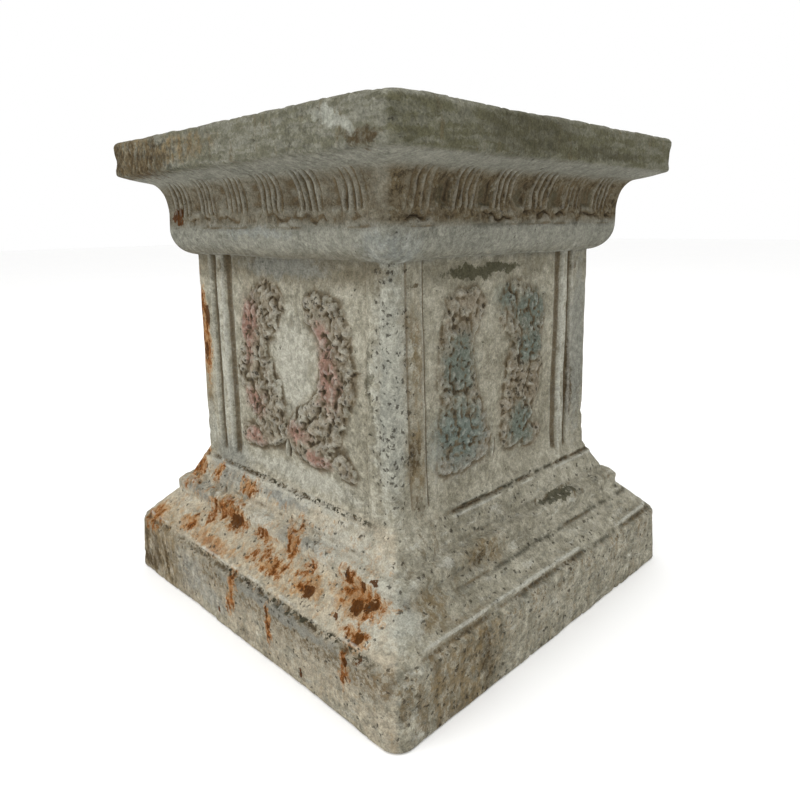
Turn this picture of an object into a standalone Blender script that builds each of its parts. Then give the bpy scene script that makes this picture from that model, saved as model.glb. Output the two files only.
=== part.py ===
"""Garden pedestal column, cast in one piece of concrete.

A square plinth, a convex slope, a rounded fillet and a ramp carry a shaft with four recessed panels.
Each panel has a moulded frame and a wreath in relief. Above the shaft come an ovolo, a hollow
moulding with a band of reeded leaves, and a slab with a flat top.

Units are metres, +Z is up, and the origin is the middle of the underside. The front looks along -Y.
"""

import math

import bmesh
import bpy
from mathutils import Matrix, Vector

# Heights of the mouldings, from the ground up
PLINTH_HEIGHT = 0.060
SLOPE_HEIGHT = 0.031
FILLET_HEIGHT = 0.017
RAMP_HEIGHT = 0.0325
SHAFT_HEIGHT = 0.2043
OVOLO_HEIGHT = 0.025
NECK_HEIGHT = 0.0147
HOLLOW_HEIGHT = 0.0268
SOFFIT_RISE = 0.0097
SLAB_HEIGHT = 0.029

# Widths across the flats
PLINTH_SIDE = 0.420
FILLET_SIDE = 0.350
RAMP_FOOT_SIDE = 0.327
SHAFT_FOOT_SIDE = 0.2908
SHAFT_HEAD_SIDE = 0.2818
OVOLO_SIDE = 0.3216
NECK_SIDE = 0.3204
HOLLOW_TOP_SIDE = 0.3430
SLAB_SIDE = 0.392

# Rounding of the vertical corners, and of the horizontal edges
PLINTH_CORNER = 0.015
PLINTH_SHOULDER_CORNER = 0.030
SLAB_CORNER = 0.013
MOULDING_CORNER = 0.009
SHAFT_CORNER = 0.005
PLINTH_FOOT_ROUND = 0.0015
FILLET_ROUND = 0.0085
SLAB_LOWER_ROUND = 0.003
SLAB_UPPER_ROUND = 0.005

# How far each curved moulding bulges: 0 is straight, 1 is a full quarter of an ellipse
SLOPE_FULLNESS = 0.12
OVOLO_FULLNESS = 1.0
HOLLOW_FULLNESS = 0.9

# The thin line scored round the ramp, below the panels
SCORE_DROP = 0.0065
SCORE_WIDTH = 0.003
SCORE_DEPTH = 0.0015

# The recessed panel of each face and the bead between two grooves at its sides
POST_WIDTH = 0.018
GROOVE_WIDTH = 0.008
GROOVE_DEPTH = 0.0045
BEAD_WIDTH = 0.0125
PANEL_DEPTH = 0.003
PANEL_SWEEP_HEIGHT = 0.028
GROOVE_END_RISE = 0.002

# The reeded leaf band in the hollow moulding
BAND_LEAVES = 6
BAND_PITCH = 0.050
REEDS_A_LEAF = 4
REED_PITCH = 0.0082
REED_WIDTH = 0.0062
REED_RELIEF = 0.003
REED_HEAD_OVERLAP = 0.0012
REED_FOOT_OVERLAP = 0.0017
LOBES_A_LEAF = 2
LOBE_WIDTH = 0.017
LOBE_HEIGHT = 0.0095
LOBE_RELIEF = 0.0022

# The wreath: two branches on an oval that is open at the top, tied at the bottom
WREATH_OVAL_WIDTH = 0.118
WREATH_OVAL_HEIGHT = 0.136
WREATH_CENTRE_RISE = 0.1095
WREATH_RELIEF = 0.0065
WREATH_SUNK = 0.0012
BRANCH_STATIONS = 8
BRANCH_END_ANGLE = math.radians(70.0)
LEAF_LENGTH = 0.034
LEAF_BREADTH = 0.019
LEAF_SPREAD = math.radians(50.0)
LEAF_OFFSET = 0.0125
BERRY_SIZE = 0.015
TAIL_DROPS = (0.0045, 0.009, 0.0045)
TAIL_START = 0.019
TAIL_LEAF_STEP = 0.027
TAIL_SPREAD = math.radians(14.0)
STEM_LENGTH = 0.020
STEM_WIDTH = 0.005

# The panel inserts of the mould sat off centre on the two faces that meet at the front right corner
PANEL_SHIFT = 0.010
FACES = (
    ("front", 0.0, PANEL_SHIFT),
    ("right", 90.0, -PANEL_SHIFT),
    ("back", 180.0, 0.0),
    ("left", 270.0, 0.0),
)

# Fineness of the curves
CORNER_STEPS = 3
CURVE_STEPS = 3
HOLLOW_STEPS = 2
GROOVE_SIDES = 6
LEAF_SIDES = 4
LEAF_RINGS = 2
BERRY_SIDES = 5
BERRY_RINGS = 3
LOBE_SIDES = 5
LOBE_RINGS = 3

# Levels that follow from the heights
SLOPE_FOOT = PLINTH_HEIGHT
FILLET_FOOT = SLOPE_FOOT + SLOPE_HEIGHT
RAMP_FOOT = FILLET_FOOT + FILLET_HEIGHT
SHAFT_FOOT = RAMP_FOOT + RAMP_HEIGHT
OVOLO_FOOT = SHAFT_FOOT + SHAFT_HEIGHT
NECK_FOOT = OVOLO_FOOT + OVOLO_HEIGHT
HOLLOW_FOOT = NECK_FOOT + NECK_HEIGHT
HOLLOW_HEAD = HOLLOW_FOOT + HOLLOW_HEIGHT
SLAB_FOOT = HOLLOW_HEAD + SOFFIT_RISE
TOP = SLAB_FOOT + SLAB_HEIGHT

CONCRETE_COLOUR = (0.44, 0.41, 0.33, 1.0)
CONCRETE_ROUGHNESS = 0.92

# How far a cutter reaches past the surface that it cuts, and a relief piece sinks into what bears it
CUTTER_REACH = 0.02
SUNK = 0.002


def clear_scene():
    for item in list(bpy.data.objects):
        bpy.data.objects.remove(item)


def new_collection(name):
    collection = bpy.data.collections.new(name)
    bpy.context.scene.collection.children.link(collection)
    return collection


def concrete():
    material = bpy.data.materials.new("cast_concrete")
    material.use_nodes = True
    shader = material.node_tree.nodes["Principled BSDF"]
    shader.inputs["Base Color"].default_value = CONCRETE_COLOUR
    shader.inputs["Roughness"].default_value = CONCRETE_ROUGHNESS
    shader.inputs["Metallic"].default_value = 0.0
    return material


def object_from(bm, name, collection):
    bmesh.ops.recalc_face_normals(bm, faces=bm.faces)
    mesh = bpy.data.meshes.new(name)
    bm.to_mesh(mesh)
    bm.free()
    made = bpy.data.objects.new(name, mesh)
    collection.objects.link(made)
    return made


# Profile of the body

def curve(start, end, fullness, upright_first, steps=CURVE_STEPS):
    """Points after start, up to and with end, on a blend of a straight line and a quarter ellipse."""
    points = []
    for step in range(1, steps + 1):
        share = step / steps
        turn = share * math.pi / 2
        if upright_first:
            across, up = 1 - math.cos(turn), math.sin(turn)
        else:
            across, up = math.sin(turn), 1 - math.cos(turn)
        across = share + fullness * (across - share)
        up = share + fullness * (up - share)
        width = start[0] + (end[0] - start[0]) * across
        height = start[1] + (end[1] - start[1]) * up
        points.append((width, height))
    return points


def shaft_half(height):
    """Half the width of the shaft, which tapers a little upwards."""
    share = (height - SHAFT_FOOT) / SHAFT_HEIGHT
    return (SHAFT_FOOT_SIDE + (SHAFT_HEAD_SIDE - SHAFT_FOOT_SIDE) * share) / 2


def ramp_half(height):
    """Half the width of the ramp between the fillet and the shaft."""
    share = (height - RAMP_FOOT) / RAMP_HEIGHT
    return (RAMP_FOOT_SIDE + (SHAFT_FOOT_SIDE - RAMP_FOOT_SIDE) * share) / 2


def base_profile():
    plinth = PLINTH_SIDE / 2
    foot = plinth - PLINTH_FOOT_ROUND
    fillet = FILLET_SIDE / 2
    score = SHAFT_FOOT - SCORE_DROP
    rows = [(foot, 0.0, PLINTH_CORNER), (plinth, PLINTH_FOOT_ROUND, PLINTH_CORNER)]
    rows.append((plinth, PLINTH_HEIGHT, PLINTH_SHOULDER_CORNER))
    slope = curve((plinth, SLOPE_FOOT), (fillet, FILLET_FOOT), SLOPE_FULLNESS, True)
    for index, (half, height) in enumerate(slope):
        share = (index + 1) / CURVE_STEPS
        corner = PLINTH_SHOULDER_CORNER + (MOULDING_CORNER - PLINTH_SHOULDER_CORNER) * share ** 2
        rows.append((half, height, corner))
    edge = RAMP_FOOT - FILLET_ROUND
    rows.append((fillet, edge, MOULDING_CORNER))
    for half, height in curve((fillet, edge), (RAMP_FOOT_SIDE / 2, RAMP_FOOT), 1.0, True):
        rows.append((half, height, MOULDING_CORNER))
    lip = SCORE_WIDTH / 2
    rows.append((ramp_half(score - lip), score - lip, SHAFT_CORNER))
    rows.append((ramp_half(score) - SCORE_DEPTH, score, SHAFT_CORNER))
    rows.append((ramp_half(score + lip), score + lip, SHAFT_CORNER))
    rows.append((SHAFT_FOOT_SIDE / 2, SHAFT_FOOT, SHAFT_CORNER))
    return rows


def hollow_line():
    """The neck and the hollow moulding as the tops of the reeds reach them, as (half width, height)."""
    line = [(OVOLO_SIDE / 2, NECK_FOOT), (NECK_SIDE / 2, HOLLOW_FOOT)]
    line += curve(line[-1], (HOLLOW_TOP_SIDE / 2, HOLLOW_HEAD), HOLLOW_FULLNESS, True, HOLLOW_STEPS)
    return line


def head_profile():
    slab = SLAB_SIDE / 2
    rows = [(SHAFT_HEAD_SIDE / 2, OVOLO_FOOT, SHAFT_CORNER)]
    ovolo = curve((SHAFT_HEAD_SIDE / 2, OVOLO_FOOT), (OVOLO_SIDE / 2, NECK_FOOT), OVOLO_FULLNESS, False)
    rows += [(half, height, MOULDING_CORNER) for half, height in ovolo]
    hollow = hollow_line()
    rows += [(half - REED_RELIEF, height, MOULDING_CORNER) for half, height in hollow[1:-1]]
    rows.append((*hollow[-1], MOULDING_CORNER))
    rows.append((slab - SLAB_LOWER_ROUND, SLAB_FOOT - SLAB_LOWER_ROUND, SLAB_CORNER))
    rows.append((slab, SLAB_FOOT, SLAB_CORNER))
    shoulder = TOP - SLAB_UPPER_ROUND
    rows.append((slab, shoulder, SLAB_CORNER))
    upper = curve((slab, shoulder), (slab - SLAB_UPPER_ROUND, TOP), 1.0, True)
    rows += [(half, height, SLAB_CORNER) for half, height in upper]
    return rows


def rounded_square(half, height, radius):
    points = []
    for quarter in range(4):
        middle = math.pi / 4 + quarter * math.pi / 2
        centre_x = math.copysign(half - radius, math.cos(middle))
        centre_y = math.copysign(half - radius, math.sin(middle))
        for step in range(CORNER_STEPS + 1):
            angle = quarter * math.pi / 2 + step / CORNER_STEPS * math.pi / 2
            x = centre_x + radius * math.cos(angle)
            y = centre_y + radius * math.sin(angle)
            points.append(Vector((x, y, height)))
    return points


def body(collection):
    """The whole moulded body, lofted through a rounded square at each level of the profile."""
    bm = bmesh.new()
    rings = []
    for half, height, radius in base_profile() + head_profile():
        rings.append([bm.verts.new(point) for point in rounded_square(half, height, radius)])
    for lower, upper in zip(rings, rings[1:]):
        for index in range(len(lower)):
            after = (index + 1) % len(lower)
            bm.faces.new((lower[index], lower[after], upper[after], upper[index]))
    bm.faces.new(reversed(rings[0]))
    bm.faces.new(rings[-1])
    return object_from(bm, "pedestal", collection)


# Places on a face: u runs to the right, out is away from the middle axis, height is up

def on_face(angle):
    """The matrix from (u, -out, height) of one face to the model."""
    return Matrix.Rotation(math.radians(angle), 4, "Z")


def prism(bm, outline, start, end, face):
    """An outline of (out, height) points, drawn out along u from start to end."""
    near = [bm.verts.new(face @ Vector((start, -out, height))) for out, height in outline]
    far = [bm.verts.new(face @ Vector((end, -out, height))) for out, height in outline]
    bm.faces.new(near)
    bm.faces.new(reversed(far))
    for index in range(len(outline)):
        after = (index + 1) % len(outline)
        bm.faces.new((near[after], near[index], far[index], far[after]))


def panel_half():
    """Half the width of the recessed field between the two inner grooves."""
    return SHAFT_HEAD_SIDE / 2 - POST_WIDTH - 2 * GROOVE_WIDTH - BEAD_WIDTH


def panel_out(height):
    """How far out the bottom of the panel lies: flat, then swept out to the scored line."""
    sweep_end = SHAFT_FOOT - SCORE_DROP + SCORE_WIDTH / 2
    sweep_start = sweep_end + PANEL_SWEEP_HEIGHT
    field = shaft_half(max(height, sweep_start)) - PANEL_DEPTH
    if height >= sweep_start:
        return field
    share = (sweep_start - height) / PANEL_SWEEP_HEIGHT
    return field + (ramp_half(sweep_end) - field) * share ** 2


def panel_outline():
    sweep_end = SHAFT_FOOT - SCORE_DROP + SCORE_WIDTH / 2
    outside = SHAFT_FOOT_SIDE / 2 + CUTTER_REACH
    outline = [(outside, sweep_end)]
    for step in range(CURVE_STEPS + 1):
        height = sweep_end + PANEL_SWEEP_HEIGHT * step / CURVE_STEPS
        outline.append((panel_out(height), height))
    outline.append((panel_out(OVOLO_FOOT), OVOLO_FOOT))
    outline.append((outside, OVOLO_FOOT))
    return outline


def groove(bm, u, face):
    """A round-bottomed cutter that follows the taper of the shaft."""
    radius = GROOVE_WIDTH / 2
    lift = GROOVE_DEPTH - radius
    foot = SHAFT_FOOT + GROOVE_END_RISE
    start = Vector((u, lift - shaft_half(foot), foot))
    end = Vector((u, lift - shaft_half(OVOLO_FOOT), OVOLO_FOOT))
    run = end - start
    tilt = Vector((0, 0, 1)).rotation_difference(run).to_matrix().to_4x4()
    half_side = Matrix.Rotation(math.pi / GROOVE_SIDES, 4, "Z")
    place = face @ Matrix.Translation((start + end) / 2) @ tilt @ half_side
    bmesh.ops.create_cone(
        bm,
        cap_ends=True,
        segments=GROOVE_SIDES,
        radius1=radius,
        radius2=radius,
        depth=run.length,
        matrix=place,
    )


def panel_cutters(collection):
    """The four recessed fields in one cutter, and the sixteen grooves in another."""
    fields = bmesh.new()
    grooves = bmesh.new()
    inner = panel_half() + GROOVE_WIDTH / 2
    outer = inner + GROOVE_WIDTH + BEAD_WIDTH
    for _, angle, shift in FACES:
        face = on_face(angle)
        prism(fields, panel_outline(), shift - inner, shift + inner, face)
        for distance in (inner, outer):
            for side in (-1, 1):
                groove(grooves, shift + side * distance, face)
    return [
        object_from(fields, "panel_cutter", collection),
        object_from(grooves, "groove_cutter", collection),
    ]


# Relief

def ellipsoid(bm, centre, size, turn, face, sides, rings):
    """A low ellipsoid with its long axis in the face, turned by an angle from upright."""
    place = face @ Matrix.Translation(centre) @ Matrix.Rotation(turn, 4, "Y")
    place = place @ Matrix.Diagonal((size[0] / 2, size[1], size[2] / 2, 1))
    bmesh.ops.create_uvsphere(bm, u_segments=sides, v_segments=rings, radius=1.0, matrix=place)


def reed_ridge():
    """The ridge of a reed, from the top of the lobes up into the soffit, as (out, height)."""
    line = hollow_line()
    rise = LOBE_HEIGHT - REED_FOOT_OVERLAP
    foot_half = line[0][0] + (line[1][0] - line[0][0]) * rise / NECK_HEIGHT
    foot = (foot_half, NECK_FOOT + rise)
    head = (line[-1][0] - REED_HEAD_OVERLAP / 2, line[-1][1] + REED_HEAD_OVERLAP)
    return [foot, *line[1:-1], head]


def reed(bm, u, face):
    """A sharp-backed reed: a three-sided bar that bends with the hollow."""
    spread = REED_WIDTH / 2 * (REED_RELIEF + SUNK) / REED_RELIEF
    rows = []
    for out, height in reed_ridge():
        back = SUNK + REED_RELIEF - out
        corners = ((u - spread, back), (u, -out), (u + spread, back))
        rows.append([bm.verts.new(face @ Vector((x, y, height))) for x, y in corners])
    bm.faces.new(rows[0])
    bm.faces.new(reversed(rows[-1]))
    for lower, upper in zip(rows, rows[1:]):
        for index in range(3):
            after = (index + 1) % 3
            bm.faces.new((lower[index], upper[index], upper[after], lower[after]))


def leaf_band(bm, face):
    """Sets of upright reeds across the hollow, with a row of lobes under them."""
    first = -BAND_PITCH * (BAND_LEAVES - 1) / 2
    lobe_step = BAND_PITCH / LOBES_A_LEAF
    for leaf in range(BAND_LEAVES):
        middle = first + leaf * BAND_PITCH
        for index in range(REEDS_A_LEAF):
            reed(bm, middle + (index - (REEDS_A_LEAF - 1) / 2) * REED_PITCH, face)
        for lobe in range(LOBES_A_LEAF):
            u = middle + (lobe - (LOBES_A_LEAF - 1) / 2) * lobe_step
            half, height = hollow_line()[0]
            centre = Vector((u, REED_RELIEF - half, height + LOBE_HEIGHT / 2))
            size = (LOBE_WIDTH, LOBE_RELIEF + REED_RELIEF / 2, LOBE_HEIGHT)
            ellipsoid(bm, centre, size, 0.0, face, LOBE_SIDES, LOBE_RINGS)


def branch_place(angle, side):
    """A point (u, rise) on the oval and its tangent direction, for an angle up from the bottom."""
    u = side * WREATH_OVAL_WIDTH / 2 * math.sin(angle)
    rise = WREATH_CENTRE_RISE - WREATH_OVAL_HEIGHT / 2 * math.cos(angle)
    along_u = side * WREATH_OVAL_WIDTH / 2 * math.cos(angle)
    along_rise = WREATH_OVAL_HEIGHT / 2 * math.sin(angle)
    return u, rise, math.atan2(along_u, along_rise)


def relief_piece(bm, u, rise, turn, size, face, sides, rings):
    height = SHAFT_FOOT + rise
    centre = Vector((u, WREATH_SUNK - panel_out(height), height))
    ellipsoid(bm, centre, size, turn, face, sides, rings)


def branch(bm, side, shift, face):
    leaf_size = (LEAF_BREADTH, WREATH_RELIEF, LEAF_LENGTH)
    berry = (BERRY_SIZE, WREATH_RELIEF, BERRY_SIZE)
    last = math.pi / 2 + BRANCH_END_ANGLE
    for station in range(BRANCH_STATIONS):
        angle = last * (station + 0.5) / BRANCH_STATIONS
        u, rise, heading = branch_place(angle, side)
        relief_piece(bm, shift + u, rise, heading, berry, face, BERRY_SIDES, BERRY_RINGS)
        for lean in (-1, 1):
            turn = heading + lean * LEAF_SPREAD
            leaf_u = u + LEAF_OFFSET * math.sin(turn)
            leaf_rise = rise + LEAF_OFFSET * math.cos(turn)
            relief_piece(bm, shift + leaf_u, leaf_rise, turn, leaf_size, face, LEAF_SIDES, LEAF_RINGS)
    bottom = WREATH_CENTRE_RISE - WREATH_OVAL_HEIGHT / 2
    tail_turn = side * (math.pi / 2 + TAIL_SPREAD)
    for leaf, drop in enumerate(TAIL_DROPS):
        leaf_u = side * (TAIL_START + TAIL_LEAF_STEP * leaf)
        relief_piece(bm, shift + leaf_u, bottom - drop, tail_turn, leaf_size, face, LEAF_SIDES, LEAF_RINGS)


def wreath(bm, shift, face):
    for side in (-1, 1):
        branch(bm, side, shift, face)
    bottom = WREATH_CENTRE_RISE - WREATH_OVAL_HEIGHT / 2 - STEM_LENGTH / 2
    stem = (STEM_WIDTH, WREATH_RELIEF / 2, STEM_LENGTH)
    relief_piece(bm, shift, bottom, 0.0, stem, face, LEAF_SIDES, LEAF_RINGS)


def relief(collection):
    bm = bmesh.new()
    for _, angle, shift in FACES:
        face = on_face(angle)
        leaf_band(bm, face)
        wreath(bm, shift, face)
    return object_from(bm, "relief", collection)


def combine(target, tool, operation):
    """Add a Boolean of one helper object, which stays out of the render."""
    tool.hide_render = True
    tool.display_type = "WIRE"
    step = target.modifiers.new(tool.name, "BOOLEAN")
    step.operation = operation
    step.solver = "EXACT"
    step.use_self = True
    step.object = tool


def main():
    clear_scene()
    parts = new_collection("garden_pedestal")
    cutters = new_collection("cutters")
    pedestal = body(parts)
    pedestal.data.materials.append(concrete())
    for cutter in panel_cutters(cutters):
        combine(pedestal, cutter, "DIFFERENCE")
    combine(pedestal, relief(cutters), "UNION")


main()
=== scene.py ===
"""Looks of the garden pedestal column: one worn concrete casting, its patina, stains and light."""

import itertools
import math
from collections import namedtuple

import bpy
import numpy as np
from mathutils import Matrix, Vector

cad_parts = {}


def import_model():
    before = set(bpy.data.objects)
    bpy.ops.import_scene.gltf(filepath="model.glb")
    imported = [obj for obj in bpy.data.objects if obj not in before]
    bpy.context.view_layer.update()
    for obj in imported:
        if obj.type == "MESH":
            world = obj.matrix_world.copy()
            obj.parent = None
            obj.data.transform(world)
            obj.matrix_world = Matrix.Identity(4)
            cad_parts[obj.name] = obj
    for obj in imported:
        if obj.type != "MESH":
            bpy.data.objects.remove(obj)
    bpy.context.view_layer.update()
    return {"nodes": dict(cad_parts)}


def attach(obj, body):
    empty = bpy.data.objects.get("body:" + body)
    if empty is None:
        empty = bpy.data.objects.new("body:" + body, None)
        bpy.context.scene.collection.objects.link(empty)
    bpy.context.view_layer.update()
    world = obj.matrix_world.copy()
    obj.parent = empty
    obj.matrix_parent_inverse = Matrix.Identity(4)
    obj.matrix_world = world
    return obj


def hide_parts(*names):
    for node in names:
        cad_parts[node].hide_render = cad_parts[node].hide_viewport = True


MM = 0.001

# Heights of the mouldings, from the ground up, in millimetres, as in the CAD
PLINTH_HEIGHT = 60.0
SLOPE_HEIGHT = 31.0
FILLET_HEIGHT = 17.0
RAMP_HEIGHT = 32.5
SHAFT_HEIGHT = 204.3
OVOLO_HEIGHT = 25.0
NECK_HEIGHT = 14.7
HOLLOW_HEIGHT = 26.8
SOFFIT_RISE = 9.7
SLAB_HEIGHT = 29.0

# Half widths
PLINTH_HALF = 210.0
FILLET_HALF = 175.0
RAMP_FOOT_HALF = 163.5
SHAFT_FOOT_HALF = 145.4
SHAFT_HEAD_HALF = 140.9
OVOLO_HALF = 160.8
NECK_HALF = 160.2
HOLLOW_TOP_HALF = 171.5
SLAB_HALF = 196.0
REED_RELIEF = 3.0

# Rounding of the corners and edges
PLINTH_CORNER = 15.0
PLINTH_SHOULDER_CORNER = 30.0
SLAB_CORNER = 13.0
MOULDING_CORNER = 9.0
SHAFT_CORNER = 5.0
PLINTH_FOOT_ROUND = 2.5
FILLET_ROUND = 8.5
SLAB_LOWER_ROUND = 3.0
SLAB_UPPER_ROUND = 5.0

# Levels that follow
SLOPE_FOOT = PLINTH_HEIGHT
FILLET_FOOT = SLOPE_FOOT + SLOPE_HEIGHT
RAMP_FOOT = FILLET_FOOT + FILLET_HEIGHT
SHAFT_FOOT = RAMP_FOOT + RAMP_HEIGHT
OVOLO_FOOT = SHAFT_FOOT + SHAFT_HEIGHT
NECK_FOOT = OVOLO_FOOT + OVOLO_HEIGHT
HOLLOW_FOOT = NECK_FOOT + NECK_HEIGHT
HOLLOW_HEAD = HOLLOW_FOOT + HOLLOW_HEIGHT
SLAB_FOOT = HOLLOW_HEAD + SOFFIT_RISE
TOP = SLAB_FOOT + SLAB_HEIGHT

# Fineness of the surface grid
COLUMNS_A_SIDE = 290
ROW_STEP = 1.2
FLAT_STEP = 3.0
UNDER_STEP = 12.0
FINE_CURVE_STEPS = 14
TRIANGLE_LIMIT = 190000
CREVICE_REACH = 4
CREVICE_DEPTH = 2.0
LOWS_SHARE = 0.55
GROUND_LEVEL = 0.01

FACE_NAMES = ("front", "right", "back", "left")
FACE_TURNS = (0.0, 90.0, 180.0, 270.0)


# Profile

def curve(start, end, fullness, upright_first):
    """Points after start, up to and with end, on a blend of a straight line and a quarter ellipse."""
    share = np.arange(1, FINE_CURVE_STEPS + 1) / FINE_CURVE_STEPS
    turn = share * math.pi / 2
    if upright_first:
        across, up = 1 - np.cos(turn), np.sin(turn)
    else:
        across, up = np.sin(turn), 1 - np.cos(turn)
    across = share + fullness * (across - share)
    up = share + fullness * (up - share)
    return list(zip(start[0] + (end[0] - start[0]) * across, start[1] + (end[1] - start[1]) * up))


def profile_points():
    """Corners of the profile as (half width, height, corner radius), from the ground to the top."""
    points = []

    def add(corner, *places):
        points.extend((*place, corner) for place in places)

    def add_curve(corner, start, end, fullness, upright_first):
        add(corner, start, *curve(start, end, fullness, upright_first))

    foot = (PLINTH_HALF - PLINTH_FOOT_ROUND, 0.0)
    add_curve(PLINTH_CORNER, foot, (PLINTH_HALF, PLINTH_FOOT_ROUND), 1.0, False)
    shoulder = (PLINTH_HALF, SLOPE_FOOT)
    add(PLINTH_SHOULDER_CORNER, shoulder)
    for place in curve(shoulder, (FILLET_HALF, FILLET_FOOT), 0.12, True):
        share = (place[1] - SLOPE_FOOT) / SLOPE_HEIGHT
        add(PLINTH_SHOULDER_CORNER + (MOULDING_CORNER - PLINTH_SHOULDER_CORNER) * share ** 2, place)
    fillet_edge = (FILLET_HALF, RAMP_FOOT - FILLET_ROUND)
    add_curve(MOULDING_CORNER, fillet_edge, (RAMP_FOOT_HALF, RAMP_FOOT), 1.0, True)
    shaft_head = (SHAFT_HEAD_HALF, OVOLO_FOOT)
    add(SHAFT_CORNER, (SHAFT_FOOT_HALF, SHAFT_FOOT), shaft_head)
    add(MOULDING_CORNER, *curve(shaft_head, (OVOLO_HALF, NECK_FOOT), 1.0, False))
    add_curve(MOULDING_CORNER, (NECK_HALF, HOLLOW_FOOT), (HOLLOW_TOP_HALF, HOLLOW_HEAD), 0.9, True)
    soffit_edge = (SLAB_HALF - SLAB_LOWER_ROUND, SLAB_FOOT - SLAB_LOWER_ROUND)
    add_curve(SLAB_CORNER, soffit_edge, (SLAB_HALF, SLAB_FOOT), 1.0, False)
    slab_edge = (SLAB_HALF, TOP - SLAB_UPPER_ROUND)
    add_curve(SLAB_CORNER, slab_edge, (SLAB_HALF - SLAB_UPPER_ROUND, TOP), 1.0, True)
    return np.array(points)


def profile_rows():
    """The profile at an even step, with the underside and the top: arrays of half, height and radius."""
    points = profile_points()
    run = np.hypot(np.diff(points[:, 0]), np.diff(points[:, 1]))
    along = np.concatenate(([0.0], np.cumsum(run)))
    places = np.linspace(0.0, along[-1], int(along[-1] / ROW_STEP))
    side = [np.interp(places, along, points[:, column]) for column in range(3)]
    under = np.arange(UNDER_STEP, side[0][0] - 1.0, UNDER_STEP)
    above = np.arange(side[0][-1] - FLAT_STEP, FLAT_STEP, -FLAT_STEP)
    half = np.concatenate((under, side[0], above))
    height = np.concatenate((np.zeros(len(under)), side[1], np.full(len(above), TOP)))
    radius = np.concatenate((np.full(len(under), PLINTH_CORNER), side[2], np.full(len(above), SLAB_CORNER)))
    radius = np.minimum(radius, half * 0.8)
    return half, height, radius


def outer_half(height):
    """Half width of the body at a height, for placing stains."""
    points = profile_points()
    heights = np.maximum.accumulate(points[:, 1] + np.arange(len(points)) * 1e-6)
    return float(np.interp(height, heights, points[:, 0]))


# Noise

NOISE_TABLE_SIZE = 8192
NOISE_PRIMES = (73856093, 19349663, 83492791)


def noise(points, size, seed):
    """Smooth noise from -1 to 1 at an array of points, with features of about that size."""
    table = np.random.default_rng(seed).uniform(-1, 1, NOISE_TABLE_SIZE).astype(np.float32)
    cell = points / size
    base = np.floor(cell).astype(np.int64)
    part = (cell - base).astype(np.float32)
    part = part * part * (3 - 2 * part)
    total = np.zeros(points.shape[:-1], np.float32)
    for corner in itertools.product((0, 1), repeat=3):
        key = np.zeros(points.shape[:-1], np.int64)
        weight = np.ones(points.shape[:-1], np.float32)
        for axis, step in enumerate(corner):
            key ^= (base[..., axis] + step) * NOISE_PRIMES[axis]
            weight *= part[..., axis] if step else 1 - part[..., axis]
        total += table[key % NOISE_TABLE_SIZE] * weight
    return total


def layered(points, size, seed, layers=3):
    """Noise with finer and weaker layers on top of each other."""
    total = 0.0
    for layer in range(layers):
        total = total + noise(points, size / 2 ** layer, seed + layer) / 2 ** layer
    return total


def cells(u, z, size, seed):
    """Distances to the nearest and second nearest of points strewn about that size apart."""
    shifts = np.random.default_rng(seed).uniform(0, 1, (NOISE_TABLE_SIZE, 2))
    place_u, place_z = u / size, z / size
    base_u, base_z = np.floor(place_u).astype(np.int64), np.floor(place_z).astype(np.int64)
    first, second = np.full(u.shape, 9.0), np.full(u.shape, 9.0)
    for step_u, step_z in itertools.product((-1, 0, 1), repeat=2):
        cell_u, cell_z = base_u + step_u, base_z + step_z
        shift = shifts[(cell_u * NOISE_PRIMES[0] ^ cell_z * NOISE_PRIMES[1]) % NOISE_TABLE_SIZE]
        distance = np.hypot(place_u - cell_u - shift[..., 0], place_z - cell_z - shift[..., 1])
        second = np.minimum(second, np.maximum(first, distance))
        first = np.minimum(first, distance)
    return first * size, second * size


def smooth(value, low, high):
    """0 below low, 1 above high, and a smooth step between them."""
    share = np.clip((value - low) / (high - low), 0, 1)
    return share * share * (3 - 2 * share)


def within(value, rise, full, fade, end):
    """1 from full to fade, with smooth steps down to 0 at rise and at end."""
    return smooth(value, rise, full) * (1 - smooth(value, fade, end))


def bell(distance, width):
    """1 in the middle, falling off softly on both sides."""
    return np.exp(-(distance / width) ** 2)


def dome(distance, width):
    """A round-backed ridge: 1 on the line and 0 at half the width from it."""
    return np.sqrt(np.clip(1 - (2 * distance / width) ** 2, 0, 1))


# Panels: u runs to the right on a face, in millimetres from its middle

SCORE_LEVEL = SHAFT_FOOT - 6.0
PANEL_SWEEP_HEIGHT = 26.0

# Grooves of each face as (place, width, depth), then the edges of the field and its depth at each edge
FRAMES = {
    "front": {
        "grooves": ((-86.0, 12.0, 6.4), (-110.0, 10.5, 5.4), (114.0, 4.0, 1.0), (129.0, 6.0, 0.7)),
        "field": (-90.0, 115.0),
        "depth": (3.4, 0.9),
    },
    "right": {
        "grooves": ((87.0, 10.5, 5.6), (106.0, 8.5, 5.0), (-104.0, 3.4, 2.8), (-124.0, 4.0, 1.0)),
        "field": (-104.0, 88.0),
        "depth": (1.6, 3.2),
    },
    "back": {
        "grooves": ((-98.4, 10.0, 5.0), (-118.9, 8.5, 4.4), (98.4, 10.0, 4.8), (118.9, 8.5, 4.4)),
        "field": (-99.0, 99.0),
        "depth": (2.8, 2.6),
    },
    "left": {
        "grooves": ((-98.4, 10.0, 4.8), (-118.9, 8.5, 4.4), (98.4, 10.0, 5.0), (118.9, 8.5, 4.2)),
        "field": (-99.0, 99.0),
        "depth": (2.6, 2.8),
    },
}

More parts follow.
